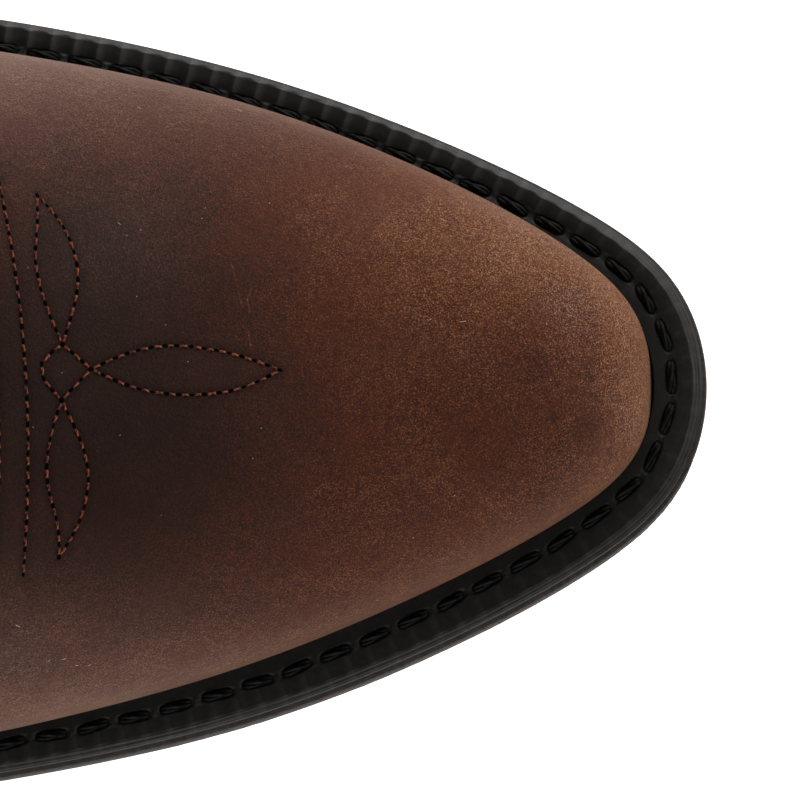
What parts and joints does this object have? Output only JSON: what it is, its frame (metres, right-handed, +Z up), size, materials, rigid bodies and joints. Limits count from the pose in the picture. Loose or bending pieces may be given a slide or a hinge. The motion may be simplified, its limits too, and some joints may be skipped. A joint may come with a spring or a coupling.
{
  "type": "western boot",
  "caption": "Pull-on western boot for the right foot, with a round toe, stitched vamp, welted rubber sole, stacked heel and scalloped shaft with pull straps.",
  "frame": {"origin": "on the floor, under the middle of the boot's box", "axes": "+X towards the toe, +Y towards the inner side of the foot, +Z up"},
  "size_m": [0.3082, 0.1096, 0.3698],
  "materials": {
    "brown_leather": "oiled, low gloss",
    "tan_lining": "smooth matte",
    "black_welt": "satin",
    "black_rubber": "matte",
    "black_heel": "edge dressed, satin"
  },
  "bodies": {
    "root": {"upper": "brown_leather", "vamp": "brown_leather", "heel_counter": "brown_leather", "collar_binding": "brown_leather", "side_piping_medial": "brown_leather", "side_piping_lateral": "brown_leather", "pull_strap_medial": "brown_leather", "pull_strap_lateral": "brown_leather", "insole": "tan_lining", "welt": "black_welt", "outsole": "black_rubber", "heel_cap": "black_rubber", "heel": "black_heel"}
  },
  "joints": []
}
